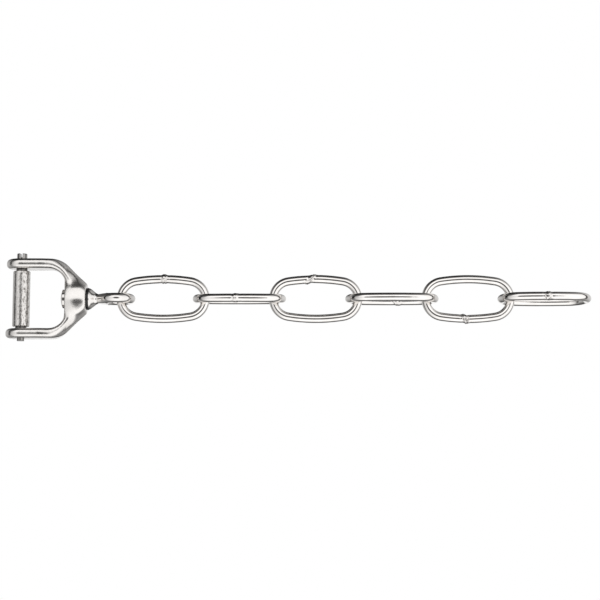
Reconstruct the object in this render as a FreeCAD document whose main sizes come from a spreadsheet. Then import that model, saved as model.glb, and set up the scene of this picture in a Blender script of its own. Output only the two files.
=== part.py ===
import FreeCAD, Part
import math
import os
import Sketcher

# Anchor swivel: a D-shaped bow with a screw pin and roller, a swivel eye
# held through the hub of the bow by a domed nut, and six long chain links.
# Millimetres. The origin is the middle of the screw pin, +Z points up and
# the chain hangs along -Z. X runs along the screw pin, its head on +X.

Vector = FreeCAD.Vector
doc = FreeCAD.newDocument("AnchorSwivel")

SIZES = {
    # bow
    "gap_width": 50.0,
    "strap_thickness": 8.0,
    "ear_radius": 12.6,
    "neck_depth": 19.0,
    "taper_drop": 20.0,
    "bend_drop": 33.6,
    "wall_drop": 37.4,
    "hub_end_drop": 55.0,
    "slope_foot": 12.0,
    "inner_corner": 14.0,
    "outer_bend": 18.0,
    "strap_round": 3.5,
    "hub_radius": 10.4,
    "barrel_arc": 22.0,
    "bore_radius": 5.1,
    "seat_radius": 8.2,
    "seat_depth": 5.6,
    "clear_hole": 3.1,
    "tapped_hole": 3.02,
    # screw pin, spacer and roller
    "screw_radius": 3.0,
    "head_radius": 4.2,
    "head_height": 4.9,
    "head_chamfer": 0.5,
    "slot_width": 2.0,
    "slot_depth": 3.0,
    "screw_stickout": 2.2,
    "tube_radius": 4.6,
    "tube_length": 49.8,
    "roller_radius": 7.1,
    "roller_bore": 4.68,
    "roller_length": 46.4,
    "roller_edge": 0.5,
    # swivel eye, nut and washers
    "shank_radius": 5.0,
    "shank_top_drop": 36.0,
    "flange_drop": 56.6,
    "flange_radius": 9.1,
    "flange_edge": 0.7,
    "cone_foot_drop": 65.0,
    "eye_bar": 4.0,
    "eye_ring": 11.0,
    "eye_drop": 79.9,
    "nut_radius": 7.8,
    "nut_bore": 5.03,
    "nut_base_drop": 41.7,
    "nut_rim_drop": 34.8,
    "nut_top_drop": 33.1,
    "inner_washer_radius": 7.9,
    "inner_washer_thickness": 1.2,
    "inner_washer_drop": 42.95,
    "outer_washer_radius": 9.25,
    "outer_washer_thickness": 1.4,
    "outer_washer_drop": 56.5,
    "outer_washer_edge": 0.45,
    "washer_bore": 5.08,
    # chain
    "wire_radius": 3.5,
    "half_length": 35.35,
    "half_width": 16.6,
    "end_arc": 15.0,
    "first_wire_drop": 82.9,
    "pitch": 63.5,
    "weld_radius": 3.85,
    "weld_reach": 3.7,
}

# Side of the weld (+1 or -1), its distance from mid leg, and the turn of
# each link about the chain's own line.
LINKS = [
    {"side": 1, "weld": -1.0, "turn": 0.0},
    {"side": -1, "weld": 2.0, "turn": 87.3},
    {"side": 1, "weld": 4.0, "turn": 0.0},
    {"side": 1, "weld": -6.0, "turn": 90.0},
    {"side": -1, "weld": 2.5, "turn": 0.0},
    {"side": -1, "weld": -1.0, "turn": 92.8},
]


def make_sheet():
    """The driving sizes, one to a row, each with its alias."""
    sheet = doc.addObject("Spreadsheet::Sheet", "Sizes")
    for row, (alias, number) in enumerate(SIZES.items(), 1):
        sheet.set(f"A{row}", alias)
        sheet.set(f"B{row}", str(number))
        sheet.setAlias(f"B{row}", alias)
    row = len(SIZES) + 1
    for index, link in enumerate(LINKS, 1):
        for key in ("side", "weld", "turn"):
            sheet.set(f"A{row}", f"link_{key}_{index}")
            sheet.set(f"B{row}", str(link[key]))
            sheet.setAlias(f"B{row}", f"link_{key}_{index}")
            row += 1
    doc.recompute()
    return sheet


def bind(thing, path, formula):
    """Tie one property to the sheet."""
    thing.setExpression(path, formula)


def make_body(name):
    body = doc.addObject("PartDesign::Body", name)
    body.Label = name
    body.Placement = FreeCAD.Placement()
    return body


def origin_plane(body, role):
    for feature in body.Origin.OriginFeatures:
        if feature.Role == role:
            return feature
    raise RuntimeError("no plane " + role)


def make_sketch(body, name, role):
    sketch = body.newObject("Sketcher::SketchObject", name)
    sketch.AttachmentSupport = (origin_plane(body, role), [""])
    sketch.MapMode = "FlatFace"
    return sketch


def place_corners(sketch, corners):
    """Construction points at the corners, held by the sheet's sizes."""
    base = sketch.GeometryCount
    for index, corner in enumerate(corners, base):
        sketch.addGeometry(Part.Point(Vector(index + 1, index, 0)), True)
        for kind, formula in zip(("DistanceX", "DistanceY"), corner[:2]):
            rule = Sketcher.Constraint(kind, index, 1, 1.0)
            number = sketch.addConstraint(rule)
            bind(sketch, f"Constraints[{number}]", formula)
    doc.recompute()
    return [sketch.getPoint(base + n, 1) for n in range(len(corners))]


def guess_arc(start, end, turn):
    """A first arc from start to end, counter-clockwise if turn is +1."""
    chord = end - start
    across = Vector(-chord.y, chord.x, 0) * (turn * 0.5)
    centre = (start + end) * 0.5 + across
    first, last = (start, end) if turn > 0 else (end, start)
    angles = [math.atan2(p.y - centre.y, p.x - centre.x) for p in (first, last)]
    circle = Part.Circle(centre, Vector(0, 0, 1), (start - centre).Length)
    return Part.ArcOfCircle(circle, angles[0], angles[1])


def hold_arc(sketch, edge, kind, formula):
    """Fix an arc by its radius or by one coordinate of its centre."""
    if kind == "Radius":
        radius = sketch.Geometry[edge].Radius
        rule = Sketcher.Constraint("Radius", edge, radius)
    else:
        centre = sketch.Geometry[edge].Center
        value = centre.x if kind == "DistanceX" else centre.y
        rule = Sketcher.Constraint(kind, edge, 3, value)
    number = sketch.addConstraint(rule)
    bind(sketch, f"Constraints[{number}]", formula)


def draw_outline(sketch, corners):
    """A closed outline through the corners.

    A corner is (x, y) with a straight edge to the next one, or
    (x, y, kind, formula, turn) with an arc to the next one.
    """
    base = sketch.GeometryCount
    points = place_corners(sketch, corners)
    count = len(corners)
    for index, corner in enumerate(corners):
        follow = (index + 1) % count
        start, end = points[index], points[follow]
        ends = (1, 2)
        if len(corner) == 2:
            edge = sketch.addGeometry(Part.LineSegment(start, end))
        else:
            edge = sketch.addGeometry(guess_arc(start, end, corner[4]))
            ends = (1, 2) if corner[4] > 0 else (2, 1)
        for end_of_edge, point in zip(ends, (index, follow)):
            point = base + point
            tie = Sketcher.Constraint("Coincident", edge, end_of_edge, point, 1)
            sketch.addConstraint(tie)
        if len(corner) > 2:
            hold_arc(sketch, edge, corner[2], corner[3])
    doc.recompute()


def draw_circle(sketch, x_formula, y_formula, radius_formula):
    edge = sketch.addGeometry(Part.Circle(Vector(1, 1, 0), Vector(0, 0, 1), 1))
    rules = (
        (Sketcher.Constraint("DistanceX", edge, 3, 1.0), x_formula),
        (Sketcher.Constraint("DistanceY", edge, 3, 1.0), y_formula),
        (Sketcher.Constraint("Radius", edge, 1.0), radius_formula),
    )
    for rule, formula in rules:
        number = sketch.addConstraint(rule)
        bind(sketch, f"Constraints[{number}]", formula)
    doc.recompute()


def add_pad(body, sketch, name, length, midplane=True):
    pad = body.newObject("PartDesign::Pad", name)
    pad.Profile = sketch
    pad.Midplane = midplane
    bind(pad, "Length", length)
    doc.recompute()
    return pad


def cut_pocket(body, sketch, name, length="", reverse=False):
    """A pocket of one length, or right through both ways."""
    before = body.Shape.Volume
    pocket = body.newObject("PartDesign::Pocket", name)
    pocket.Profile = sketch
    if length:
        pocket.Reversed = reverse
        bind(pocket, "Length", length)
    else:
        pocket.Type = "ThroughAll"
        pocket.Midplane = True
    doc.recompute()
    if not body.Shape.Volume < before - 0.01:
        raise RuntimeError(name + " cut nothing")
    return pocket


def spin(body, sketch, name, kind, axis):
    """A full revolution or groove about an axis of the sketch."""
    before = body.Shape.Volume if kind == "Groove" else 0.0
    turned = body.newObject("PartDesign::" + kind, name)
    turned.Profile = sketch
    turned.ReferenceAxis = (sketch, [axis])
    turned.Angle = 360.0
    doc.recompute()
    if kind == "Groove" and not body.Shape.Volume < before - 0.01:
        raise RuntimeError(name + " cut nothing")
    return turned


def dress_edges(body, name, kind, size, chosen):
    """A fillet or chamfer on the edges of the tip that the test chooses."""
    base = body.Tip
    names = []
    for number, edge in enumerate(base.Shape.Edges, 1):
        if chosen(edge):
            names.append(f"Edge{number}")
    if not names:
        raise RuntimeError(name + " found no edge")
    dressed = body.newObject("PartDesign::" + kind, name)
    dressed.Base = (base, names)
    bind(dressed, "Radius" if kind == "Fillet" else "Size", size)
    doc.recompute()
    return dressed


def middle(edge):
    first, last = edge.ParameterRange
    return edge.valueAt((first + last) / 2)


def near(value, target):
    return abs(value - target) < 1e-3


def round_edge_test(centre, radius):
    """Chooses a round edge by its centre and its radius."""
    def test(edge):
        curve = edge.Curve
        if not isinstance(curve, Part.Circle):
            return False
        same = (curve.Center - centre).Length < 1e-3
        return same and near(curve.Radius, radius)
    return test


INNER = "Sizes.gap_width / 2"
OUTER = "(Sizes.gap_width / 2 + Sizes.strap_thickness)"


def make_yoke():
    """The cast bow: two ears, a D-shaped strap and the barrel hub."""
    body = make_body("yoke")
    corners = [
        (INNER, "Sizes.ear_radius"),
        (INNER, "-Sizes.wall_drop"),
        ("-" + INNER, "-Sizes.wall_drop"),
        ("-" + INNER, "Sizes.ear_radius"),
        ("-" + OUTER, "Sizes.ear_radius"),
        ("-" + OUTER, "-Sizes.bend_drop"),
        ("-Sizes.slope_foot", "-Sizes.hub_end_drop"),
        ("Sizes.slope_foot", "-Sizes.hub_end_drop"),
        (OUTER, "-Sizes.bend_drop"),
        (OUTER, "Sizes.ear_radius"),
    ]
    sketch = make_sketch(body, "bow_front", "XZ_Plane")
    draw_outline(sketch, corners)
    add_pad(body, sketch, "bow_strap", "Sizes.ear_radius * 2")

    def at_drop(drop):
        def test(edge):
            point = middle(edge)
            cross = near(point.y, 0) and near(edge.Length, 2 * SIZES["ear_radius"])
            return cross and near(point.z, -drop) and abs(point.x) > 20
        return test

    dress_edges(body, "inner_corners", "Fillet", "Sizes.inner_corner",
                at_drop(SIZES["wall_drop"]))
    dress_edges(body, "outer_bends", "Fillet", "Sizes.outer_bend",
                at_drop(SIZES["bend_drop"]))
    trim_sides(body)
    round_strap(body)
    add_hub(body)
    bore_hub(body)
    drill_ears(body)
    return body


def trim_sides(body):
    """Cuts the side view: round ears, and arms that thin to the hub."""
    sketch = make_sketch(body, "side_view", "YZ_Plane")
    wide = "Sizes.ear_radius"
    slim = "Sizes.neck_depth / 2"
    draw_outline(sketch, [
        (wide, "0 mm", "DistanceY", "0 mm", 1),
        ("-" + wide, "0 mm"),
        ("-" + wide, "-Sizes.taper_drop"),
        ("-" + slim, "-Sizes.hub_end_drop - 2"),
        (slim, "-Sizes.hub_end_drop - 2"),
        (wide, "-Sizes.taper_drop"),
    ])
    draw_outline(sketch, [
        ("30 mm", "30 mm"),
        ("-30 mm", "30 mm"),
        ("-30 mm", "-Sizes.hub_end_drop - 20"),
        ("30 mm", "-Sizes.hub_end_drop - 20"),
    ])
    cut_pocket(body, sketch, "side_trim")


def round_strap(body):
    """Rounds the long edges of the strap and of both ears."""
    def long_edge(edge):
        start, end = edge.Vertexes[0].Point, edge.Vertexes[-1].Point
        level = near(start.z, end.z)
        through = level and near(start.y, end.y) and abs(start.y) > 12
        across = near(start.y, -end.y) and abs(start.y) > 5
        foot = near(middle(edge).z, -SIZES["hub_end_drop"])
        return not (through or across or foot)

    dress_edges(body, "strap_rounding", "Fillet", "Sizes.strap_round", long_edge)


def add_hub(body):
    sketch = make_sketch(body, "hub_profile", "XZ_Plane")
    draw_outline(sketch, [
        ("0 mm", "-Sizes.wall_drop"),
        ("0 mm", "-Sizes.hub_end_drop"),
        ("Sizes.hub_radius", "-Sizes.hub_end_drop",
         "Radius", "Sizes.barrel_arc", 1),
        ("Sizes.hub_radius", "-Sizes.wall_drop"),
    ])
    spin(body, sketch, "hub_barrel", "Revolution", "V_Axis")


def bore_hub(body):
    """The swivel's bore and the round seat for the nut."""
    sketch = make_sketch(body, "bore_profile", "XZ_Plane")
    seat = "-Sizes.wall_drop - Sizes.seat_depth"
    draw_outline(sketch, [
        ("0 mm", "-Sizes.wall_drop + 3"),
        ("0 mm", "-Sizes.hub_end_drop - 3"),
        ("Sizes.bore_radius", "-Sizes.hub_end_drop - 3"),
        ("Sizes.bore_radius", seat),
        ("Sizes.seat_radius", seat),
        ("Sizes.seat_radius", "-Sizes.wall_drop + 3"),
    ])
    spin(body, sketch, "swivel_bore", "Groove", "V_Axis")


def drill_ears(body):
    """A clear hole in the ear under the head, a tapped one opposite."""
    for name, radius, reverse in (("clear_ear", "Sizes.clear_hole", True),
                                  ("tapped_ear", "Sizes.tapped_hole", False)):
        sketch = make_sketch(body, name + "_sketch", "YZ_Plane")
        draw_circle(sketch, "0 mm", "0 mm", radius)
        cut_pocket(body, sketch, name, OUTER + " + 5", reverse)


def make_clevis_screw():
    """The slotted cheese-head screw that crosses the bow."""
    body = make_body("clevis_screw")
    tip = "-" + OUTER + " - Sizes.screw_stickout"
    seat = OUTER + " + 0.05"
    face = OUTER + " + 0.05 + Sizes.head_height"
    sketch = make_sketch(body, "screw_profile", "XZ_Plane")
    draw_outline(sketch, [
        (tip, "0 mm"),
        (face, "0 mm"),
        (face, "Sizes.head_radius"),
        (seat, "Sizes.head_radius"),
        (seat, "Sizes.screw_radius"),
        (tip, "Sizes.screw_radius"),
    ])
    spin(body, sketch, "screw_turned", "Revolution", "H_Axis")
    outer = SIZES["gap_width"] / 2 + SIZES["strap_thickness"]
    ends = (
        (outer + 0.05 + SIZES["head_height"], SIZES["head_radius"]),
        (-outer - SIZES["screw_stickout"], SIZES["screw_radius"]),
    )
    tests = [round_edge_test(Vector(x, 0, 0), r) for x, r in ends]
    dress_edges(body, "screw_ends", "Chamfer", "Sizes.head_chamfer",
                lambda edge: any(test(edge) for test in tests))
    slot = make_sketch(body, "slot_section", "XZ_Plane")
    floor = face + " - Sizes.slot_depth"
    draw_outline(slot, [
        (floor, "-Sizes.slot_width / 2"),
        (face + " + 2", "-Sizes.slot_width / 2"),
        (face + " + 2", "Sizes.slot_width / 2"),
        (floor, "Sizes.slot_width / 2"),
    ])
    cut_pocket(body, slot, "driver_slot")
    return body


def make_tube(name, length, radius, bore, edge_size=""):
    """A plain tube along the screw pin, centred on the origin."""
    body = make_body(name)
    sketch = make_sketch(body, name + "_profile", "XZ_Plane")
    draw_outline(sketch, [
        (f"-{length} / 2", bore),
        (f"{length} / 2", bore),
        (f"{length} / 2", radius),
        (f"-{length} / 2", radius),
    ])
    spin(body, sketch, name + "_turned", "Revolution", "H_Axis")
    if edge_size:
        big = max(edge.Curve.Radius for edge in body.Shape.Edges
                  if isinstance(edge.Curve, Part.Circle))
        dress_edges(body, name + "_edges", "Fillet", edge_size,
                    lambda e: isinstance(e.Curve, Part.Circle)
                    and near(e.Curve.Radius, big))
    return body


def make_swivel_eye():
    """Shank, conical flange and ring, forged in one piece."""
    body = make_body("swivel_eye")
    sketch = make_sketch(body, "eye_profile", "XZ_Plane")
    draw_outline(sketch, [
        ("0 mm", "-Sizes.shank_top_drop"),
        ("0 mm", "-Sizes.eye_drop + Sizes.eye_ring"),
        ("Sizes.eye_bar", "-Sizes.eye_drop + Sizes.eye_ring"),
        ("Sizes.eye_bar", "-Sizes.cone_foot_drop"),
        ("Sizes.flange_radius", "-Sizes.flange_drop - Sizes.flange_edge"),
        ("Sizes.flange_radius", "-Sizes.flange_drop"),
        ("Sizes.shank_radius", "-Sizes.flange_drop"),
        ("Sizes.shank_radius", "-Sizes.shank_top_drop"),
    ])
    spin(body, sketch, "shank_and_flange", "Revolution", "V_Axis")
    ring = body.newObject("PartDesign::AdditiveTorus", "ring")
    ring.AttachmentSupport = (origin_plane(body, "YZ_Plane"), [""])
    ring.MapMode = "FlatFace"
    bind(ring, "Radius1", "Sizes.eye_ring")
    bind(ring, "Radius2", "Sizes.eye_bar")
    bind(ring, "AttachmentOffset.Base.y", "-Sizes.eye_drop")
    doc.recompute()
    return body


def make_retaining_nut():
    """The domed nut on the shank, seen inside the bow."""
    body = make_body("retaining_nut")
    sketch = make_sketch(body, "nut_profile", "XZ_Plane")
    hole_top = "-Sizes.shank_top_drop + 0.3"
    draw_outline(sketch, [
        ("0 mm", hole_top),
        ("Sizes.nut_bore", hole_top),
        ("Sizes.nut_bore", "-Sizes.nut_base_drop"),
        ("Sizes.nut_radius", "-Sizes.nut_base_drop"),
        ("Sizes.nut_radius", "-Sizes.nut_rim_drop", "DistanceX", "0 mm", 1),
        ("0 mm", "-Sizes.nut_top_drop"),
    ])
    spin(body, sketch, "nut_turned", "Revolution", "V_Axis")
    return body


def make_washer(name, radius, drop, thickness, rounding=""):
    """A ring about the swivel axis whose underside is at the drop."""
    body = make_body(name)
    sketch = make_sketch(body, name + "_section", "XY_Plane")
    draw_circle(sketch, "0 mm", "0 mm", radius)
    draw_circle(sketch, "0 mm", "0 mm", "Sizes.washer_bore")
    add_pad(body, sketch, name + "_disc", thickness, midplane=False)
    if rounding:
        rim = body.Shape.BoundBox.XMax
        dress_edges(body, name + "_rim", "Fillet", rounding,
                    lambda e: isinstance(e.Curve, Part.Circle)
                    and near(e.Curve.Radius, rim))
    bind(body, "Placement.Base.z", "-" + drop)
    doc.recompute()
    return body


LEG_ARC = ("(((Sizes.half_length - Sizes.end_arc)^2 + Sizes.half_width^2"
           " - Sizes.end_arc^2) / (2 * (Sizes.half_width - Sizes.end_arc)))")
LEG_CENTRE = f"({LEG_ARC} - Sizes.half_width)"
END_CENTRE = "(Sizes.half_length - Sizes.end_arc)"
JOIN_X = f"({LEG_CENTRE} * Sizes.end_arc / ({LEG_ARC} - Sizes.end_arc))"
JOIN_Z = f"({END_CENTRE} * {LEG_ARC} / ({LEG_ARC} - Sizes.end_arc))"


def make_link(index):
    """One chain link: round wire bent to a long oval and butt welded."""
    name = f"chain_link_{index}"
    body = make_body(name)
    spine = make_sketch(body, name + "_centreline", "XZ_Plane")
    draw_outline(spine, [
        (JOIN_X, JOIN_Z, "DistanceY", END_CENTRE, 1),
        ("-" + JOIN_X, JOIN_Z, "DistanceX", LEG_CENTRE, 1),
        ("-" + JOIN_X, "-" + JOIN_Z, "DistanceY", "-" + END_CENTRE, 1),
        (JOIN_X, "-" + JOIN_Z, "DistanceX", "-" + LEG_CENTRE, 1),
    ])
    wire = make_sketch(body, name + "_section", "XY_Plane")
    draw_circle(wire, "Sizes.half_width", "0 mm", "Sizes.wire_radius")
    pipe = body.newObject("PartDesign::AdditivePipe", name + "_wire")
    pipe.Profile = wire
    pipe.Spine = (spine, ["Edge4", "Edge1", "Edge2", "Edge3"])
    doc.recompute()
    bead = body.newObject("PartDesign::AdditiveEllipsoid", name + "_weld")
    bead.AttachmentSupport = (origin_plane(body, "XY_Plane"), [""])
    bead.MapMode = "FlatFace"
    bind(bead, "Radius1", "Sizes.weld_reach")
    bind(bead, "Radius2", "Sizes.weld_radius")
    bind(bead, "Radius3", "Sizes.weld_radius")
    side = f"Sizes.link_side_{index} * Sizes.half_width"
    bind(bead, "AttachmentOffset.Base.x", side)
    bind(bead, "AttachmentOffset.Base.z", f"Sizes.link_weld_{index}")
    top = f"Sizes.first_wire_drop + {index - 1} * Sizes.pitch"
    bind(body, "Placement.Base.z", f"-({top} + Sizes.half_length)")
    bind(body, "Placement.Rotation.Angle", f"Sizes.link_turn_{index}")
    doc.recompute()
    return body


def make_parts():
    parts = [
        make_yoke(),
        make_clevis_screw(),
        make_tube("spacer_tube", "Sizes.tube_length", "Sizes.tube_radius",
                  "Sizes.clear_hole"),
        make_tube("roller", "Sizes.roller_length", "Sizes.roller_radius",
                  "Sizes.roller_bore", "Sizes.roller_edge"),
        make_swivel_eye(),
        make_retaining_nut(),
        make_washer("inner_washer", "Sizes.inner_washer_radius",
                    "Sizes.inner_washer_drop", "Sizes.inner_washer_thickness"),
        make_washer("outer_washer", "Sizes.outer_washer_radius",
                    "Sizes.outer_washer_drop", "Sizes.outer_washer_thickness",
                    "Sizes.outer_washer_edge"),
    ]
    for index in range(1, len(LINKS) + 1):
        parts.append(make_link(index))
    return parts


def check_document():
    """Stops the build if any object failed to recompute."""
    doc.recompute()
    for thing in doc.Objects:
        if "Invalid" in thing.State or "Error" in thing.State:
            raise RuntimeError(thing.Label + " did not recompute")


def write_parts(parts):
    os.makedirs("parts", exist_ok=True)
    for part in parts:
        shape = part.Shape
        if shape.isNull() or not shape.isValid() or len(shape.Solids) != 1:
            raise RuntimeError(part.Label + " is not one sound solid")
        shape.exportStep(os.path.join("parts", part.Label + ".step"))
        box = shape.BoundBox
        print(part.Label, round(shape.Volume, 1),
              [round(v, 2) for v in (box.XMin, box.XMax, box.YMin,
                                     box.YMax, box.ZMin, box.ZMax)])


make_sheet()
all_parts = make_parts()
check_document()
write_parts(all_parts)
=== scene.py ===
import math

import bmesh
import bpy
import numpy as np
from mathutils import Matrix, Vector


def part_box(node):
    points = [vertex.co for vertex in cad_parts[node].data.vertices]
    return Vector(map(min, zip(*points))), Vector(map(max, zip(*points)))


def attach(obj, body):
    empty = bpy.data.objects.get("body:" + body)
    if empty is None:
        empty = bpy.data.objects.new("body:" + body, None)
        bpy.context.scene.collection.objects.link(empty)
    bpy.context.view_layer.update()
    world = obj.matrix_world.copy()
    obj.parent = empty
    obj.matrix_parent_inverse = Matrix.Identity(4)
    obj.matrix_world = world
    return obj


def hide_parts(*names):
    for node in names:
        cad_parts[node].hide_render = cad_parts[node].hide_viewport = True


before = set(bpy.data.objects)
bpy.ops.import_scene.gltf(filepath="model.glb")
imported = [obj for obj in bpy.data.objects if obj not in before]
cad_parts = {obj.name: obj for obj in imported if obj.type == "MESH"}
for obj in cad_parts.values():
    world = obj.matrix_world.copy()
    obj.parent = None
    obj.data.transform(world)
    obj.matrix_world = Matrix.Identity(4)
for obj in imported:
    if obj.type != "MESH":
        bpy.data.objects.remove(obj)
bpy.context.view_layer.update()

MM = 0.001
SLAB = 16  # layers of a grid that are worked out at once
scene = bpy.context.scene

# ---------------------------------------------------------------- mesh tools


def box_of(node):
    """The low and high corner of a CAD node, in millimetres."""
    return [Vector(corner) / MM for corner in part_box(node)]


def close_mesh(mesh):
    """Joins points that coincide and turns every face outwards."""
    work = bmesh.new()
    work.from_mesh(mesh)
    bmesh.ops.remove_doubles(work, verts=work.verts, dist=1e-4 * MM)
    bmesh.ops.recalc_face_normals(work, faces=work.faces)
    work.to_mesh(mesh)
    work.free()


def add_piece(name, points, faces, material, body, node):
    """A mesh piece in millimetres that rides a body and stands for a CAD node."""
    mesh = bpy.data.meshes.new(name)
    mesh.from_pydata((np.asarray(points, float) * MM).tolist(), [], faces)
    close_mesh(mesh)
    mesh.validate()
    mesh.shade_smooth()
    piece = bpy.data.objects.new(name, mesh)
    scene.collection.objects.link(piece)
    mesh.materials.append(material)
    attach(piece, body)
    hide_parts(node)
    return piece


def point_attribute(piece, name, values):
    """Stores one vector for each point, for the shaders to read."""
    layer = piece.data.attributes.new(name, "FLOAT_VECTOR", "POINT")
    layer.data.foreach_set("vector", np.asarray(values, np.float32).ravel())


def ring_faces(rings, segments, closed):
    """Quads over rings of points; closed joins the last ring to the first."""
    faces = []
    for i in range(rings if closed else rings - 1):
        for j in range(segments):
            k, m = (i + 1) % rings, (j + 1) % segments
            faces.append((i * segments + j, k * segments + j,
                          k * segments + m, i * segments + m))
    return faces


def value_noise(points, scale, seed):
    """Smooth seeded noise in -1..1 at points (n, 3), features of one scale."""
    rng = np.random.default_rng(seed)
    table = rng.uniform(-1, 1, (16, 16, 16))
    p = np.asarray(points, float) / scale + rng.uniform(0, 16, 3)
    cell = np.floor(p).astype(int)
    f = p - cell
    f = f * f * (3 - 2 * f)
    total = 0.0
    for corner in range(8):
        o = np.array([corner & 1, corner >> 1 & 1, corner >> 2 & 1])
        w = np.prod(np.where(o, f, 1 - f), axis=1)
        c = (cell + o) % 16
        total = total + w * table[c[:, 0], c[:, 1], c[:, 2]]
    return total


def sample_field(field, low, high, step):
    """The field's values on a grid, worked out slab by slab."""
    axes = [np.arange(a, b + step, step) for a, b in zip(low, high)]
    values = np.empty([len(a) for a in axes])
    for i in range(0, len(axes[0]), SLAB):
        x, y, z = np.meshgrid(axes[0][i:i + SLAB], axes[1], axes[2], indexing="ij")
        values[i:i + SLAB] = field(x, y, z)
    return values


def edge_crossings(values):
    """For every cell, the sum and the number of its edges' zero crossings."""
    cells = tuple(n - 1 for n in values.shape)
    total = np.zeros(cells + (3,))
    count = np.zeros(cells)
    for axis in range(3):
        u, v = [a for a in range(3) if a != axis]
        for du, dv in ((0, 0), (0, 1), (1, 0), (1, 1)):
            start = [0, 0, 0]
            start[u], start[v] = du, dv
            end = list(start)
            end[axis] = 1
            a = values[tuple(slice(s, s + c) for s, c in zip(start, cells))]
            b = values[tuple(slice(s, s + c) for s, c in zip(end, cells))]
            crossed = (a < 0) != (b < 0)
            t = np.where(crossed, a / np.where(crossed, a - b, 1), 0)
            count += crossed
            for k in range(3):
                share = t if k == axis else float(start[k])
                total[..., k] += np.where(crossed, share, 0)
    return total, count


def cell_quads(inside, index):
    """Quads that join the cells round each grid edge with one end inside."""
    faces = []
    for axis in range(3):
        u, v = (axis + 1) % 3, (axis + 2) % 3
        first = [slice(None)] * 3
        second = [slice(None)] * 3
        first[axis] = slice(0, -1)
        second[axis] = slice(1, None)
        a, b = inside[tuple(first)], inside[tuple(second)]
        where = np.argwhere(a != b)
        keep = (where[:, u] > 0) & (where[:, v] > 0)
        keep &= (where[:, u] < index.shape[u]) & (where[:, v] < index.shape[v])
        where = where[keep]
        rising = a[tuple(where.T)]
        corners = []
        for du, dv in ((1, 1), (0, 1), (0, 0), (1, 0)):
            at = where.copy()
            at[:, u] -= du
            at[:, v] -= dv
            corners.append(index[tuple(at.T)])
        quads = np.stack(corners, 1)
        faces.append(np.where(rising[:, None], quads, quads[:, ::-1]))
    return np.concatenate(faces).tolist()


def settle(field, points, rounds=3, reach=0.02):
    """Moves points on to the zero surface along the field's slope."""
    for _ in range(rounds):
        value = field(*points.T)
        slope = []
        for axis in range(3):
            shift = np.zeros(3)
            shift[axis] = reach
            ahead = field(*(points + shift).T)
            behind = field(*(points - shift).T)
            slope.append((ahead - behind) / (2 * reach))
        slope = np.stack(slope, 1)
        size = np.maximum((slope ** 2).sum(1), 0.25)
        points = points - slope * (value / size)[:, None]
    return points


def add_net(name, field, low, high, steps, material, body, node):
    """A piece on the zero surface of a distance field, all in millimetres.

    steps are the sizes of the grid's cells, for a quick and for a fine mesh; the
    quick one is not used.
    """
    step = steps[1]
    values = sample_field(field, low, high, step)
    total, count = edge_crossings(values)
    active = count > 0
    index = np.full(active.shape, -1)
    index[active] = np.arange(active.sum())
    points = np.argwhere(active) + total[active] / count[active][:, None]
    points = settle(field, np.array(low) + points * step)
    faces = cell_quads(values < 0, index)
    add_piece(name, points, faces, material, body, node)


def soft_min(a, b, k):
    """The smaller distance, with a blend about k wide where they are equal."""
    h = np.maximum(k - np.abs(a - b), 0) / k
    return np.minimum(a, b) - h * h * k / 4


def soft_max(a, b, k):
    """The larger distance, with a blend about k wide where they are equal."""
    return -soft_min(-a, -b, k)


def corner_round(a, b, radius):
    """Both distances at once, the edge between them rounded."""
    p, q = a + radius, b + radius
    outer = np.hypot(np.maximum(p, 0), np.maximum(q, 0))
    return np.minimum(np.maximum(p, q), 0) + outer - radius


def smooth_step(value, start, end):
    """Rises smoothly from 0 at start to 1 at end."""
    t = np.clip((value - start) / (end - start), 0, 1)
    return t * t * (3 - 2 * t)


def arc(centre, radius, start, end, count):
    """Points on an arc, angles in degrees, as (along, across)."""
    t = np.radians(np.linspace(start, end, count))
    return [(centre[0] + radius * math.cos(a), centre[1] + radius * math.sin(a))
            for a in t]


def tube_profile(start, end, radius, bore, edge, between=()):
    """A tube's half section as (along, radius), its outer edges rounded."""
    profile = [(start, bore)]
    profile += arc((start + edge, radius - edge), edge, 180, 90, 7)
    profile += [(along, radius) for along in between]
    profile += arc((end - edge, radius - edge), edge, 90, 0, 7)
    return profile + [(end, bore)]


def add_turned(name, profile, closed, segments, axis, material, body, node):
    """A piece from a profile [(along, radius)] turned about the x or z axis."""
    along, radius = np.asarray(profile, float).T
    angle = np.linspace(0, 2 * math.pi, segments, endpoint=False)
    along = np.repeat(along, segments)
    u = np.outer(radius, np.cos(angle)).ravel()
    v = np.outer(radius, np.sin(angle)).ravel()
    columns = [along, u, v] if axis == "x" else [v, u, along]
    faces = ring_faces(len(profile), segments, closed)
    add_piece(name, np.stack(columns, 1), faces, material, body, node)


# ------------------------------------------------------------ shader helpers


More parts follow.
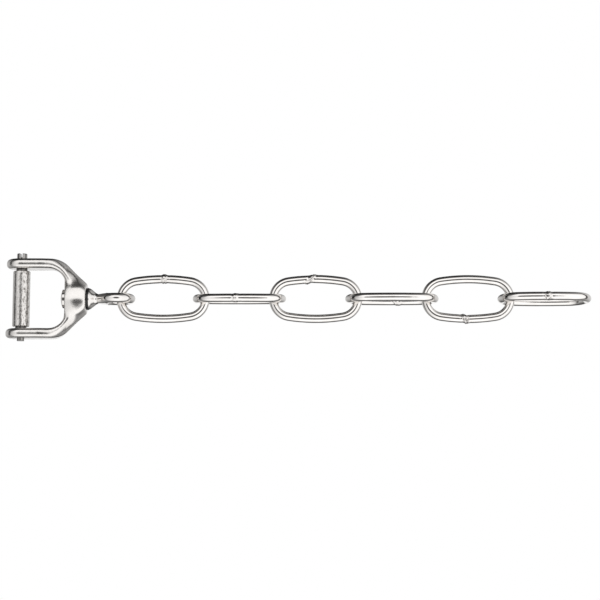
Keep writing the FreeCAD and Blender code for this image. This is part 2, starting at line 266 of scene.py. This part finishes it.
class Nodes:
    """Clears a node tree, then adds nodes to it and links them."""

    def __init__(self, owner):
        owner.use_nodes = True
        self.tree = owner.node_tree
        self.tree.nodes.clear()

    def add(self, kind, **settings):
        node = self.tree.nodes.new(kind)
        for key, value in settings.items():
            setattr(node, key, value)
        return node

    def link(self, source, target):
        self.tree.links.new(source, target)

    def feed(self, target, value):
        """Links a socket to the target, or sets the target to a plain value."""
        if isinstance(value, bpy.types.NodeSocket):
            self.link(value, target)
        else:
            target.default_value = value

    def math(self, kind, a, b=0.0):
        node = self.add("ShaderNodeMath", operation=kind)
        self.feed(node.inputs[0], a)
        self.feed(node.inputs[1], b)
        return node.outputs[0]

    def along(self, vector, direction):
        """How far a vector reaches along a direction."""
        node = self.add("ShaderNodeVectorMath", operation="DOT_PRODUCT")
        self.link(vector, node.inputs[0])
        node.inputs[1].default_value = direction
        return node.outputs["Value"]

    def ramp(self, value, stops):
        """Greys [(position, tone)] with straight runs between them."""
        node = self.add("ShaderNodeValToRGB")
        self.link(value, node.inputs["Fac"])
        elements = node.color_ramp.elements
        while len(elements) > 1:
            elements.remove(elements[-1])
        for number, (position, tone) in enumerate(stops):
            element = elements.new(position) if number else elements[0]
            element.position = position
            element.color = grey(tone)
        return node.outputs["Color"]


class Shader(Nodes):
    """A material with one principled surface, and the nodes that shape it."""

    def __init__(self, name):
        self.material = bpy.data.materials.new(name)
        super().__init__(self.material)
        self.out = self.add("ShaderNodeOutputMaterial")
        self.surface = self.add("ShaderNodeBsdfPrincipled")
        self.link(self.surface.outputs["BSDF"], self.out.inputs["Surface"])

    def place(self, attribute="", stretch=(1, 1, 1)):
        """Coordinates in millimetres: the object's own, or an attribute's."""
        if attribute:
            source = self.add("ShaderNodeAttribute", attribute_name=attribute)
            vector = source.outputs["Vector"]
            size = stretch
        else:
            source = self.add("ShaderNodeTexCoord")
            vector = source.outputs["Object"]
            size = [s / MM for s in stretch]
        mapping = self.add("ShaderNodeMapping")
        self.link(vector, mapping.inputs["Vector"])
        mapping.inputs["Scale"].default_value = size
        return mapping.outputs["Vector"]

    def noise(self, vector, scale, detail=4.0, rough=0.55, warp=0.0):
        node = self.add("ShaderNodeTexNoise")
        self.link(vector, node.inputs["Vector"])
        node.inputs["Scale"].default_value = scale
        node.inputs["Detail"].default_value = detail
        node.inputs["Roughness"].default_value = rough
        node.inputs["Distortion"].default_value = warp
        return node.outputs["Fac"]

    def spots(self, vector, scale):
        """Distance from the nearest of many scattered points."""
        node = self.add("ShaderNodeTexVoronoi", feature="F1")
        self.link(vector, node.inputs["Vector"])
        node.inputs["Scale"].default_value = scale
        return node.outputs["Distance"]

    def remap(self, value, low, high, to_low=0.0, to_high=1.0):
        node = self.add("ShaderNodeMapRange", clamp=True)
        self.link(value, node.inputs["Value"])
        node.inputs["From Min"].default_value = low
        node.inputs["From Max"].default_value = high
        node.inputs["To Min"].default_value = to_low
        node.inputs["To Max"].default_value = to_high
        return node.outputs["Result"]

    def mix(self, factor, a, b):
        node = self.add("ShaderNodeMix", data_type="RGBA")
        self.link(factor, node.inputs["Factor"])
        self.feed(node.inputs[6], a)
        self.feed(node.inputs[7], b)
        return node.outputs[2]

    def bump(self, height, distance, normal=None):
        """Bends the normal by a height; the distance is in millimetres."""
        node = self.add("ShaderNodeBump")
        self.link(height, node.inputs["Height"])
        node.inputs["Distance"].default_value = distance * MM
        node.inputs["Strength"].default_value = 1.0
        if normal is not None:
            self.link(normal, node.inputs["Normal"])
        return node.outputs["Normal"]


def grey(value, warm=0.0):
    """A grey with its red raised and its blue lowered by warm."""
    return (value + warm, value, value - warm, 1.0)


def steel(name, tone, rough, grain, streaks, attribute="", stretch=(1, 1, 1),
          pits=0.0, dashes=0.0, worn=None, stain=""):
    """Stainless steel of one tone: polish variation, fine grain and hairlines.

    Dashes are short scratches along X, most on the side that worn points to;
    a stain darkens where a weld was made.
    """
    s = Shader(name)
    s.surface.inputs["Metallic"].default_value = 1.0
    own = s.place()
    drawn = s.place(attribute, stretch)
    cloud = s.noise(own, 0.11, 5.0)
    fine = s.noise(own, 1.9, 3.0, 0.6)
    streak = s.noise(drawn, 1.0, 5.0, 0.65, 0.2)
    warm = 0.03 * tone
    shade = s.mix(s.remap(cloud, 0.35, 0.68), grey(tone * 0.93, warm),
                  grey(min(tone * 1.05, 0.96), warm))
    shade = s.mix(s.remap(streak, 0.56, 0.74, 0.0, streaks), shade,
                  grey(tone * 0.62, warm))
    value = s.remap(cloud, 0.3, 0.7, rough * 0.75, rough * 1.25)
    value = s.math("ADD", value, s.remap(streak, 0.4, 0.75, 0.0, 0.16 * streaks))
    value = s.math("ADD", value, s.remap(fine, 0.35, 0.7, -0.02, 0.05))
    normal = s.bump(fine, 0.012 * grain)
    normal = s.bump(streak, 0.02 * streaks, normal)
    normal = s.bump(s.noise(own, 0.22, 2.0), 0.10 * grain, normal)
    if pits:
        hole = s.remap(s.spots(own, 1.1), 0.0, 0.22)
        normal = s.bump(hole, 0.02 * pits, normal)
    if dashes:
        dash = s.noise(s.place(stretch=(0.35, 0.9, 0.9)), 1.0, 4.0, 0.7)
        depth = s.remap(dash, 0.51, 0.6, 0.0, dashes)
        if worn:
            side = s.remap(s.along(own, worn), -3, 3, 0.3)
            depth = s.math("MULTIPLY", depth, side)
        shade = s.mix(depth, shade, grey(tone * 0.3, 0.02 * tone))
        normal = s.bump(dash, 0.12 * dashes, normal)
    if stain:
        weld = s.add("ShaderNodeAttribute", attribute_name=stain).outputs["Fac"]
        crust = s.remap(s.noise(own, 1.3, 4.0, 0.7), 0.38, 0.62)
        shade = s.mix(s.math("MULTIPLY", weld, crust), shade,
                      grey(tone * 0.16, 0.012))
        value = s.math("ADD", value, s.math("MULTIPLY", weld, 0.14))
    s.link(shade, s.surface.inputs["Base Color"])
    s.link(value, s.surface.inputs["Roughness"])
    s.link(normal, s.surface.inputs["Normal"])
    return s.material


def black_plastic(name):
    """Moulded black acetal with a faint grain and polished high spots."""
    s = Shader(name)
    own = s.place()
    fine = s.noise(own, 2.4, 4.0)
    cloud = s.noise(own, 0.5, 3.0)
    shade = s.mix(s.remap(cloud, 0.35, 0.7), grey(0.006), grey(0.02))
    s.link(shade, s.surface.inputs["Base Color"])
    s.link(s.remap(fine, 0.3, 0.7, 0.28, 0.46), s.surface.inputs["Roughness"])
    s.link(s.bump(fine, 0.01), s.surface.inputs["Normal"])
    return s.material


# ---------------------------------------------------------------- materials

# streaks per millimetre along x, y and z, or along the wire's own coordinates
TURNED = (3.0, 0.15, 0.15)
ROLLED = (0.05, 1.6, 1.6)
DRAWN = (1.3, 1.3, 0.03)

bow_steel = steel("bow_steel", 0.74, 0.18, 1.0, 0.10, pits=1.0)
eye_steel = steel("eye_steel", 0.74, 0.09, 0.7, 0.10)
nut_steel = steel("nut_steel", 0.66, 0.10, 0.5, 0.10)
pin_steel = steel("pin_steel", 0.34, 0.12, 0.6, 0.30, stretch=TURNED, dashes=0.4)
# the spacer tube's steel tone is painted very dark: painted shade for the shadow in
# the gaps between the roller and the ears
tube_steel = steel("tube_steel", 0.16, 0.30, 0.6, 0.30, stretch=TURNED)
roller_steel = steel("roller_steel", 0.70, 0.15, 0.6, 0.6, stretch=ROLLED,
                     dashes=1.0, worn=(0, 0, -1))
chain_steel = steel("chain_steel", 0.80, 0.04, 0.5, 0.16, "wire", DRAWN,
                    stain="weld")
washer_plastic = black_plastic("washer_plastic")

# ---------------------------------------------------------------------- bow

# Half widths are measured from the axis, depths from the middle plane. WALL is
# the gap's floor, BEND the end of the straight arms, SLOPE_FOOT and NECK the
# half width and half depth at the hub, and ROUND the rounding of the edges.
bow_low, bow_high = box_of("yoke")
EAR = bow_high.z
OUTER = bow_high.x
INNER = OUTER - 8.0
INNER_CORNER = 14.0
HUB_END = bow_low.z
WALL = -37.4
BEND = -33.6
SLOPE_FOOT = 11.4
NECK = 8.2
ROUND = 3.9
HUB_MIDDLE = -46.0
HUB_DEPTH = 12.7
HUB_CROWN = 30.0
RIDGE = math.radians(14)
RIDGE_SKEW = 0.15
BORE = 5.1
SEAT, SEAT_DEPTH = 8.2, 5.6
CLEAR_HOLE, TAPPED_HOLE = 3.1, 3.02


def half_depth(z, from_gap):
    """Half the strap's depth: full at the ears, less towards the hub.

    Below the straight arms the front also falls away from the gap outwards.
    """
    fall = 0.36 * smooth_step(-z, 24, 38)
    depth = EAR - (EAR - NECK) * smooth_step(-z, 14, 41)
    return depth - fall * np.maximum(from_gap - 4.5, 0)


def front_outline(ax, z):
    """Distances to the flank, all the outside and the gap, seen from the front."""
    run, drop = OUTER - SLOPE_FOOT, BEND - HUB_END
    slope = ((ax - OUTER) * drop - (z - BEND) * run) / math.hypot(run, drop)
    flank = soft_max(ax - OUTER, slope, 5.5)
    side = soft_max(flank, HUB_END - z, 1.6)
    qx, qz = ax - INNER + INNER_CORNER, WALL + INNER_CORNER - z
    gap = np.minimum(np.maximum(qx, qz), 0) - INNER_CORNER
    return flank, side, gap + np.hypot(np.maximum(qx, 0), np.maximum(qz, 0))


def oval_round(side, edge, wide, deep):
    """The corner of two distances, rounded to a quarter of an oval."""
    p, q = side / wide + 1, edge / deep + 1
    outer = np.hypot(np.maximum(p, 0), np.maximum(q, 0))
    return (np.minimum(np.maximum(p, q), 0) + outer - 1) * np.minimum(wide, deep)


def strap_field(y, z, side, gap):
    """The strap with its ears: edges rounded more and more towards the hub."""
    half = half_depth(z, gap)
    edge = np.hypot(y, np.maximum(z, 0)) - half
    full = smooth_step(-z, 24, 42)
    deep = np.minimum(ROUND + 3.4 * full, 0.9 * half)
    outside = oval_round(side, edge, ROUND + 4.6 * full, deep)
    return soft_max(outside, corner_round(-gap, edge, ROUND), 0.8)


def hub_field(x, y, z, flank):
    """A barrel wider than it is deep, with a soft ridge down the front."""
    across = x - RIDGE_SKEW * y
    ridge = np.sqrt((across * math.sin(RIDGE)) ** 2 + 0.5) - 0.7
    ridge = ridge + np.abs(y) * math.cos(RIDGE) + HUB_DEPTH * (1 - math.cos(RIDGE))
    wide = soft_max(np.hypot(across * 0.77, y) - 0.3, ridge, 1.0)
    barrel = np.hypot(wide + HUB_CROWN - HUB_DEPTH, z - HUB_MIDDLE) - HUB_CROWN
    barrel = soft_max(barrel, flank + 1.2, 4.0)
    barrel = soft_max(barrel, HUB_END - z, 1.6)
    return soft_max(barrel, z - WALL, 1.0)


def bow_field(x, y, z):
    """Strap and hub in one, less the bore, the nut's seat and the ear holes."""
    flank, side, gap = front_outline(np.abs(x), z)
    strap = strap_field(y, z, side, gap)
    body = soft_min(strap, hub_field(x, y, z, flank), 3.0)
    body = soft_max(body, HUB_END - z, 0.7)
    r = np.hypot(x, y)
    body = soft_max(body, BORE - r, 0.5)
    seat = np.maximum(r - SEAT, WALL - SEAT_DEPTH - z)
    body = soft_max(body, -seat, 0.5)
    hole = np.where(x > 0, CLEAR_HOLE, TAPPED_HOLE)
    return soft_max(body, hole - np.hypot(y, z), 0.35)


add_net("bow", bow_field, (-34, -15, -56), (34, 15, 14), (0.8, 0.42),
        bow_steel, "bow", "yoke")

# ------------------------------------------------------- screw, tube, roller

screw_low, screw_high = box_of("clevis_screw")
HEAD = screw_high.x
HEAD_RADIUS = screw_high.z
SCREW_RADIUS = 3.0
SLOT_HALF, SLOT_DEPTH = 1.0, 3.0


def screw_field(x, y, z):
    """A cheese-head screw along X with a slot across its head."""
    r = np.hypot(y, z)
    ends = np.maximum(screw_low.x - x, x - HEAD + 1)
    shank = corner_round(r - SCREW_RADIUS, ends, 0.35)
    head = np.maximum(OUTER + 0.05 - x, x - HEAD)
    head = corner_round(r - HEAD_RADIUS, head, 0.5)
    slot = np.maximum(np.abs(z) - SLOT_HALF, HEAD - SLOT_DEPTH - x)
    return soft_max(np.minimum(shank, head), -slot, 0.25)


add_net("clevis_screw_piece", screw_field, (screw_low.x - 0.9, -4.9, -4.9),
        (HEAD + 0.8, 4.9, 4.9), (0.5, 0.28), pin_steel, "bow",
        "clevis_screw")


def add_tube(name, node, half, radius, bore, edge, segments, material, body):
    """A turned tube on the screw pin with rounded ends."""
    between = np.linspace(-half + 2, half - 2, 40)
    profile = tube_profile(-half, half, radius, bore, edge, between)
    add_turned(name, profile, True, segments, "x", material, body, node)


# the spacer tube's dark steel is painted shade, for the shadow where it shows between
# roller and ears
add_tube("spacer_tube_piece", "spacer_tube", 24.9, 4.6, 3.1, 0.3, 72,
         tube_steel, "bow")
add_tube("roller_piece", "roller", 23.2, 7.1, 4.68, 0.9, 128,
         roller_steel, "roller")

# ------------------------------------------------------ swivel eye and nut

# radii, and heights along Z
FLANGE, FLANGE_TOP, FLANGE_RIM = 9.1, -56.6, -57.3
CONE_FOOT, CONE_FOOT_HEIGHT = 3.6, -64.0
RING_MIDDLE, RING_RADIUS, RING_BAR = -79.9, 11.0, 4.0
SHANK, SHANK_TOP = 5.0, -36.0


def between_levels(z, low, high):
    """Below zero between two heights."""
    return np.maximum(z - high, low - z)


def eye_field(x, y, z):
    """The eye: shank, flange with a cone under it, neck and ring."""
    r = np.hypot(x, y)
    fall, run = FLANGE_RIM - CONE_FOOT_HEIGHT, FLANGE - CONE_FOOT
    cone = ((r - FLANGE) * fall - (z - FLANGE_RIM) * run) / math.hypot(fall, run)
    flange = soft_max(r - FLANGE, cone, 1.2)
    flange = np.maximum(flange, between_levels(z, -66.5, FLANGE_TOP))
    neck = np.maximum(r - CONE_FOOT, between_levels(z, -68.9, -57.5))
    ring = np.hypot(np.hypot(y, z - RING_MIDDLE) - RING_RADIUS, x) - RING_BAR
    # the neck swells into the ring front and back, and stays slim sideways
    bar = soft_min(neck, ring, 8.0)
    width = 3.8 + 0.4 * smooth_step(-z, 64, 70) + 3 * smooth_step(-z, 70, 76)
    bar = soft_max(bar, np.abs(x) - width, 0.8)
    shank = np.maximum(r - SHANK, between_levels(z, -58.0, SHANK_TOP))
    return np.minimum(soft_min(bar, flange, 1.5), shank)


add_net("eye", eye_field, (-10.3, -16.1, -96), (10.3, 16.1, -35), (0.8, 0.4),
        eye_steel, "eye", "swivel_eye")

NUT_BASE, NUT_TOP = [corner.z for corner in box_of("retaining_nut")]
NUT_RADIUS, NUT_RIM, NUT_BORE = 7.8, -34.8, 5.03
rise = NUT_TOP - NUT_RIM
DOME = (NUT_RADIUS ** 2 + rise ** 2) / (2 * rise)
sweep = math.degrees(math.asin(NUT_RADIUS / DOME))
nut_profile = arc((NUT_TOP - DOME, 0), DOME, 0, sweep, 28)
nut_profile += [(NUT_RIM - 0.3, NUT_RADIUS), (NUT_BASE + 0.4, NUT_RADIUS),
                (NUT_BASE, NUT_RADIUS - 0.4), (NUT_BASE, NUT_BORE),
                (SHANK_TOP, NUT_BORE), (SHANK_TOP + 0.3, 4.6), (SHANK_TOP + 0.3, 0.0)]
add_turned("nut", nut_profile, False, 96, "z", nut_steel, "eye",
           "retaining_nut")


def add_washer(name, node, radius, bore, edge):
    """A turned plastic washer round the eye's shank."""
    bottom, top = [corner.z for corner in box_of(node)]
    profile = tube_profile(bottom, top, radius, bore, edge)
    add_turned(name, profile, True, 96, "z", washer_plastic, "eye",
               node)


add_washer("thrust_washer", "outer_washer", 9.25, 5.08, 0.45)
add_washer("seat_washer", "inner_washer", 7.9, 5.08, 0.2)

# --------------------------------------------------------------------- links

# A link's centreline: an arc of radius END_ARC at each end and a flat arc of
# radius LEG_ARC down each side. They meet where the side has leaned in by
# LEAN_IN. LEG is the length of half a side, QUARTER a quarter of the whole.
WIRE = 3.5
HALF_LENGTH = 35.35
HALF_WIDTH = 16.6
END_ARC = 15.0
END_MIDDLE = HALF_LENGTH - END_ARC
LEG_ARC = ((END_MIDDLE ** 2 + HALF_WIDTH ** 2 - END_ARC ** 2)
           / (2 * (HALF_WIDTH - END_ARC)))
LEAN_IN = math.atan2(END_MIDDLE, LEG_ARC - HALF_WIDTH)
LEG = LEG_ARC * LEAN_IN
QUARTER = LEG + END_ARC * (math.pi / 2 - LEAN_IN)


def oval(s):
    """Centreline points and outward directions at lengths from mid leg."""
    s = s % (4 * QUARTER)
    side = np.floor(s / QUARTER).astype(int) % 4
    u = s - np.floor(s / QUARTER) * QUARTER
    u = np.where(side % 2, QUARTER - u, u)
    leg = u < LEG
    angle = np.where(leg, u / LEG_ARC, LEAN_IN + (u - LEG) / END_ARC)
    ca, sa = np.cos(angle), np.sin(angle)
    x = np.where(leg, LEG_ARC * ca - (LEG_ARC - HALF_WIDTH), END_ARC * ca)
    z = np.where(leg, LEG_ARC * sa, END_ARC * sa + END_MIDDLE)
    sx = np.array([1, -1, -1, 1])[side]
    sz = np.array([1, 1, -1, -1])[side]
    return np.stack([sx * x, sz * z], 1), np.stack([sx * ca, sz * sa], 1)


# side and height of the weld, turn about the chain's line, bead size, kink,
# step between the two wire ends, lean of the bead, groove depth
LINKS = [
    dict(side=1, weld=-1.0, turn=0.0, bead=0.45, kink=0.3, step=0.0, tilt=0.1,
         groove=0.45, seed=11),
    dict(side=-1, weld=2.0, turn=87.3, bead=0.3, kink=0.25, step=0.0, tilt=0.2,
         groove=0.15, seed=12),
    dict(side=1, weld=4.0, turn=0.0, bead=0.4, kink=0.35, step=-0.35, tilt=0.9,
         groove=0.6, seed=13),
    dict(side=1, weld=-6.0, turn=90.0, bead=0.4, kink=0.3, step=0.0, tilt=0.3,
         groove=0.5, seed=14),
    dict(side=-1, weld=2.5, turn=0.0, bead=0.5, kink=0.35, step=0.2, tilt=-0.4,
         groove=0.7, seed=15),
    dict(side=-1, weld=-1.0, turn=92.8, bead=0.35, kink=0.25, step=0.0, tilt=0.3,
         groove=0.6, seed=16),
]


def spacing(total):
    """Lengths along the wire from the weld, closer together beside it."""
    fine = np.linspace(-6, 6, 140, endpoint=False)
    rest = np.linspace(6, total - 6, 440, endpoint=False)
    rest = np.where(rest > total / 2, rest - total, rest)
    return np.concatenate([fine, rest])


def bent_wire(lengths, facts):
    """The centreline from the weld on, kinked and stepped where it was joined."""
    centre, out = oval(lengths + facts["weld"] * facts["side"])
    centre, out = centre * facts["side"], out * facts["side"]
    away = np.abs(lengths)
    kink = facts["kink"] * (np.exp(-away / 2.2) - 0.25 * np.exp(-away / 7))
    kink += facts["step"] * np.tanh(lengths / 0.8) * np.exp(-away / 9)
    return centre + out * kink[:, None], out


def weld_marks(wire, angle, along, facts):
    """How far the weld swells the wire at each point, and how dirty it is."""
    rough = value_noise(wire, 0.9, facts["seed"])
    broad = value_noise(wire, 4.0, facts["seed"] + 50)
    groove = facts["groove"]
    edge = along + 0.7 * broad + facts["tilt"] * WIRE * np.cos(angle)
    bead = facts["bead"] * np.exp(-(edge / 1.9) ** 4) * (1 + 0.5 * rough)
    lines = sum(np.exp(-((edge - at) / 0.38) ** 2) for at in (-1.9, 0.2, 2.1))
    lines = lines * np.clip(0.75 + 1.6 * broad, 0, 1) * np.clip(2.2 * rough, 0, 1)
    burn = np.clip(3.2 * value_noise(wire, 1.5, facts["seed"] + 90) - 0.5, 0, 1)
    burn = burn * np.exp(-(edge / 2.9) ** 4)
    press = 0.10 * np.exp(-(np.abs(edge) - 3.4) ** 2)
    swell = bead - groove * (lines + 0.35 * burn) - press + 0.02 * broad
    dirt = np.clip(1.3 * lines * min(2.2 * groove, 1), 0, 1)
    dirt = np.maximum(dirt, 0.25 * np.exp(-(edge / 3.0) ** 2))
    dirt = np.maximum(dirt, burn * min(1.6 * groove, 1))
    return swell, dirt


def add_link(index, facts):
    """One link: round wire swept along its oval, with the weld's marks."""
    around = 48
    lengths = spacing(4 * QUARTER)
    centre, out = bent_wire(lengths, facts)
    circle = np.linspace(0, 2 * math.pi, around, endpoint=False)
    angle = np.tile(circle, len(lengths))
    along = np.repeat(lengths, around)
    wire = np.stack([WIRE * np.cos(angle), WIRE * np.sin(angle), along], 1)
    swell, dirt = weld_marks(wire, angle, along, facts)
    reach = (WIRE + swell) * np.cos(angle)
    front = (WIRE + swell) * np.sin(angle)
    side, z = (centre.repeat(around, 0) + out.repeat(around, 0) * reach[:, None]).T
    turn = math.radians(facts["turn"])
    x = side * math.cos(turn) - front * math.sin(turn)
    y = side * math.sin(turn) + front * math.cos(turn)
    low, high = box_of(f"chain_link_{index}")
    points = np.stack([x, y, z + (low.z + high.z) / 2], 1)
    faces = ring_faces(len(lengths), around, True)
    piece = add_piece(f"link_{index}_wire", points, faces, chain_steel,
                      f"link_{index}", f"chain_link_{index}")
    wire[:, 2] += 40 * index
    point_attribute(piece, "wire", wire)
    point_attribute(piece, "weld", np.repeat(dirt[:, None], 3, 1))


for index, facts in enumerate(LINKS, 1):
    add_link(index, facts)

# ------------------------------------------------- camera, world and floor

# The picture is turned: its up is the screw pin's X, and the camera stands to
# the front, LEAN towards -X. AIM is the middle of what it sees.
LEAN = math.radians(6.3)
UP = Vector((math.cos(LEAN), -math.sin(LEAN), 0))
BACK = Vector((-math.sin(LEAN), -math.cos(LEAN), 0))
RIGHT = UP.cross(BACK)
AIM = Vector((0, 0, -0.2322)) - UP * 0.0008
LENS, SENSOR, SEEN_WIDTH = 85, 36, 0.5
STUDIO_STRENGTH = 1.3
FLOOR_HEIGHT = -0.6
FLOOR_GLOW = 0.42


def add_camera():
    """A camera that sees the object as the photo does."""
    data = bpy.data.cameras.new("camera")
    data.lens = LENS
    data.sensor_width = SENSOR
    data.clip_start = 0.01
    camera = bpy.data.objects.new("camera", data)
    scene.collection.objects.link(camera)
    place = Matrix.Translation(AIM + BACK * (SEEN_WIDTH * LENS / SENSOR))
    turn = Matrix((RIGHT, UP, BACK)).transposed().to_4x4()
    camera.matrix_world = place @ turn
    scene.camera = camera
    scene.view_settings.view_transform = "Standard"


# Each quarter of the studio, by its angle in degrees from the camera: grey
# round the camera, white panels, dark cards beyond them.
QUARTERS = [
    (UP, [(0, 0.08), (15, 0.08), (24, 1.0), (54, 1.0), (61, 0.06), (95, 0.05),
          (112, 0.01), (180, 0.01)]),
    (-UP, [(0, 0.08), (15, 0.08), (24, 1.0), (78, 1.0), (90, 0.3), (104, 0.2),
           (112, 0.05), (150, 0.05), (158, 0.8), (180, 0.9)]),
    (RIGHT, [(0, 0.08), (15, 0.08), (24, 1.0), (83, 0.95), (90, 0.04),
             (99, 0.04), (106, 0.58), (180, 0.62)]),
    (-RIGHT, [(0, 0.08), (15, 0.08), (24, 0.75), (45, 0.65), (70, 0.42),
              (77, 0.01), (92, 0.01), (99, 0.42), (180, 0.52)]),
]
# (giver, taker, share): in the corners the cards above reach further left, and
# those on the right reach further up
CORNERS = [(3, 0, 1.3), (0, 2, 0.9)]


def quarter_weights(studio, direction, angle):
    """How much of each quarter is seen in a direction; they add up to one."""
    spread = studio.math("MAXIMUM", studio.math("SINE", angle), 0.001)
    weights = []
    for side, stops in QUARTERS:
        weight = studio.math("DIVIDE", studio.along(direction, side), spread)
        weight = studio.math("MAXIMUM", weight, 0)
        weights.append(studio.math("MULTIPLY", weight, weight))
    for giver, taker, share in CORNERS:
        both = studio.math("MULTIPLY", weights[giver], weights[taker])
        reach = studio.math("MULTIPLY", both, share)
        weights[taker] = studio.math("ADD", weights[taker], reach)
        weights[giver] = studio.math("SUBTRACT", weights[giver], reach)
    return weights


def add_world():
    """A studio of panels and cards, plain white to the camera itself."""
    world = bpy.data.worlds.new("studio")
    scene.world = world
    studio = Nodes(world)
    direction = studio.add("ShaderNodeTexCoord").outputs["Generated"]
    angle = studio.math("ARCCOSINE", studio.along(direction, BACK))
    bend = studio.math("DIVIDE", angle, math.pi)
    weights = quarter_weights(studio, direction, angle)
    total = 0.0
    for (side, stops), weight in zip(QUARTERS, weights):
        tone = studio.ramp(bend, [(degrees / 180, tone) for degrees, tone in stops])
        total = studio.math("ADD", total, studio.math("MULTIPLY", tone, weight))
    choose = studio.add("ShaderNodeMixShader")
    path = studio.add("ShaderNodeLightPath")
    studio.link(path.outputs["Is Camera Ray"], choose.inputs[0])
    for number, (colour, strength) in enumerate(
            ((total, STUDIO_STRENGTH), (grey(1.0), 1.0)), 1):
        light = studio.add("ShaderNodeBackground")
        studio.feed(light.inputs["Color"], colour)
        light.inputs["Strength"].default_value = strength
        studio.link(light.outputs[0], choose.inputs[number])
    out = studio.add("ShaderNodeOutputWorld")
    studio.link(choose.outputs[0], out.inputs["Surface"])


def floor_paint():
    """Pale, slightly glowing; its edge fades into the white behind it."""
    s = Shader("floor_paint")
    fine = s.noise(s.place(), 0.4, 3.0)
    shade = s.mix(s.remap(fine, 0.3, 0.7), grey(0.80), grey(0.84))
    s.link(shade, s.surface.inputs["Base Color"])
    s.surface.inputs["Roughness"].default_value = 0.8
    s.surface.inputs["Emission Color"].default_value = (1, 1, 1, 1)
    s.surface.inputs["Emission Strength"].default_value = FLOOR_GLOW
    away = s.add("ShaderNodeVectorMath", operation="LENGTH")
    s.link(s.place(stretch=(1, 1, 0)), away.inputs[0])
    fade = s.add("ShaderNodeMixShader")
    s.link(s.remap(away.outputs["Value"], 230, 485), fade.inputs[0])
    s.link(s.surface.outputs["BSDF"], fade.inputs[1])
    s.link(s.add("ShaderNodeBsdfTransparent").outputs["BSDF"], fade.inputs[2])
    s.link(fade.outputs["Shader"], s.out.inputs["Surface"])
    return s.material


def add_floor():
    """A round floor below the hanging chain, in metres."""
    segments = 96
    rings = [(0.001, 0), (0.25, 0), (0.44, 0), (0.478, 0.0015), (0.49, 0.006),
             (0.495, 0.014)]
    points = []
    for radius, drop in rings:
        for k in range(segments):
            a = 2 * math.pi * k / segments
            points.append((radius * math.cos(a), radius * math.sin(a),
                           FLOOR_HEIGHT - drop))
    mesh = bpy.data.meshes.new("floor")
    faces = ring_faces(len(rings), segments, False)
    mesh.from_pydata(points, [], [face[::-1] for face in faces])
    mesh.shade_smooth()
    floor = bpy.data.objects.new("floor", mesh)
    scene.collection.objects.link(floor)
    mesh.materials.append(floor_paint())
    floor.visible_glossy = False


add_camera()
add_world()
add_floor()
